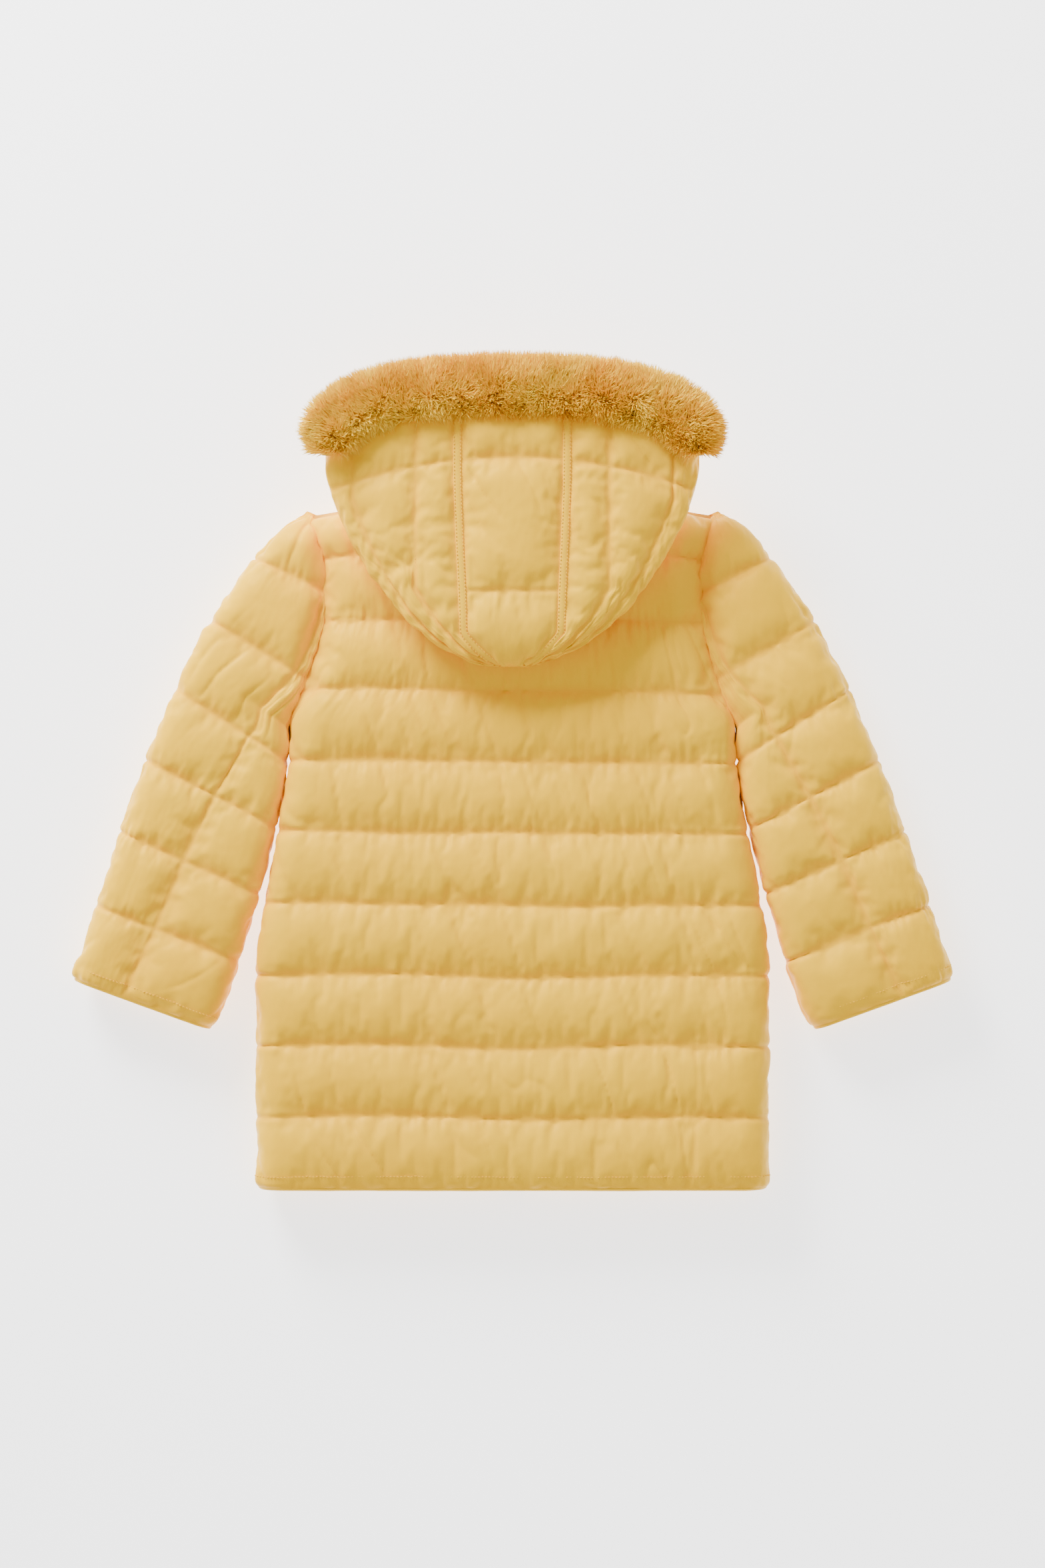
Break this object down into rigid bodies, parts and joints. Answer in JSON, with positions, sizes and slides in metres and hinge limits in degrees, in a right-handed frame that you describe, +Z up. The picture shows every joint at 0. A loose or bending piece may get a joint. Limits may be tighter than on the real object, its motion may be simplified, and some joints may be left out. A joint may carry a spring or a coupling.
{
  "type": "padded hooded coat",
  "caption": "Child's quilted padded winter coat with a fur-trimmed hood and a front zip, lying flat on its front with its back up.",
  "frame": {"origin": "centre of the coat's outline, on the floor under its front", "axes": "+X towards the wearer's right sleeve, +Y from the hem to the hood, +Z up from the floor, out of the coat's back"},
  "size_m": [0.844, 0.7916, 0.1258],
  "materials": {
    "shell_fabric": "satin",
    "wadding": "matte",
    "lining": "satin",
    "fur": "matte",
    "woven_tape": "matte",
    "zip_teeth": "satin",
    "zip_metal": "satin",
    "label": "matte"
  },
  "bodies": {
    "coat_body": {"back_shell": "shell_fabric", "back_padding": "wadding", "back_lining": "lining", "back_hem_facing": "shell_fabric", "collar_shell": "shell_fabric", "collar_padding": "wadding", "collar_lining": "lining", "zip_tape_right": "woven_tape", "zip_tape_left": "woven_tape", "zip_teeth_right": "zip_teeth", "zip_teeth_left": "zip_teeth", "zip_top_stop_right": "zip_metal", "zip_top_stop_left": "zip_metal", "zip_retaining_box": "zip_metal", "zip_insertion_pin": "zip_metal", "wind_guard": "shell_fabric", "hanger_loop": "woven_tape", "neck_label": "label", "left_front_shell": "shell_fabric", "left_front_padding": "wadding", "left_pocket_padding": "wadding", "left_front_lining": "lining", "left_front_hem_facing": "shell_fabric", "left_pocket_bag": "lining", "left_pocket_welt": "shell_fabric", "right_front_shell": "shell_fabric", "right_front_padding": "wadding", "right_pocket_padding": "wadding", "right_front_lining": "lining", "right_front_hem_facing": "shell_fabric", "right_pocket_bag": "lining", "right_pocket_welt": "shell_fabric"},
    "left_sleeve": {"left_upper_sleeve_shell": "shell_fabric", "left_under_sleeve_shell": "shell_fabric", "left_upper_sleeve_padding": "wadding", "left_under_sleeve_padding": "wadding", "left_sleeve_lining": "lining", "left_cuff_facing": "shell_fabric"},
    "right_sleeve": {"right_upper_sleeve_shell": "shell_fabric", "right_under_sleeve_shell": "shell_fabric", "right_upper_sleeve_padding": "wadding", "right_under_sleeve_padding": "wadding", "right_sleeve_lining": "lining", "right_cuff_facing": "shell_fabric"},
    "hood": {"hood_left_panel": "shell_fabric", "hood_centre_panel": "shell_fabric", "hood_right_panel": "shell_fabric", "hood_brim_band": "shell_fabric", "hood_crown_padding": "wadding", "hood_nape_padding": "wadding", "hood_lining": "lining", "fur_trim": "fur", "fur_backing": "woven_tape"},
    "slider": {"zip_slider": "zip_metal"},
    "pull": {"zip_pull": "zip_metal"}
  },
  "joints": [
    {"name": "left_sleeve_swing", "type": "hinge", "parent": "coat_body", "child": "left_sleeve", "pos_m": [-0.195, 0.2612, 0.028], "axis": [0, 0, -1], "range_deg": [0, 35]},
    {"name": "right_sleeve_swing", "type": "hinge", "parent": "coat_body", "child": "right_sleeve", "pos_m": [0.195, 0.2612, 0.028], "axis": [0, 0, 1], "range_deg": [0, 35]},
    {"name": "hood_raise", "type": "hinge", "parent": "coat_body", "child": "hood", "pos_m": [0, 0.3372, 0.0624], "axis": [1, 0, 0], "range_deg": [-90, 0]},
    {"name": "zip_slide", "type": "slide", "parent": "coat_body", "child": "slider", "axis": [0, 1, 0], "range_m": [-0.69, 0]},
    {"name": "zip_pull_swing", "type": "hinge", "parent": "slider", "child": "pull", "pos_m": [0, 0.3179, 0.0038], "axis": [1, 0, 0], "range_deg": [0, 175]}
  ]
}
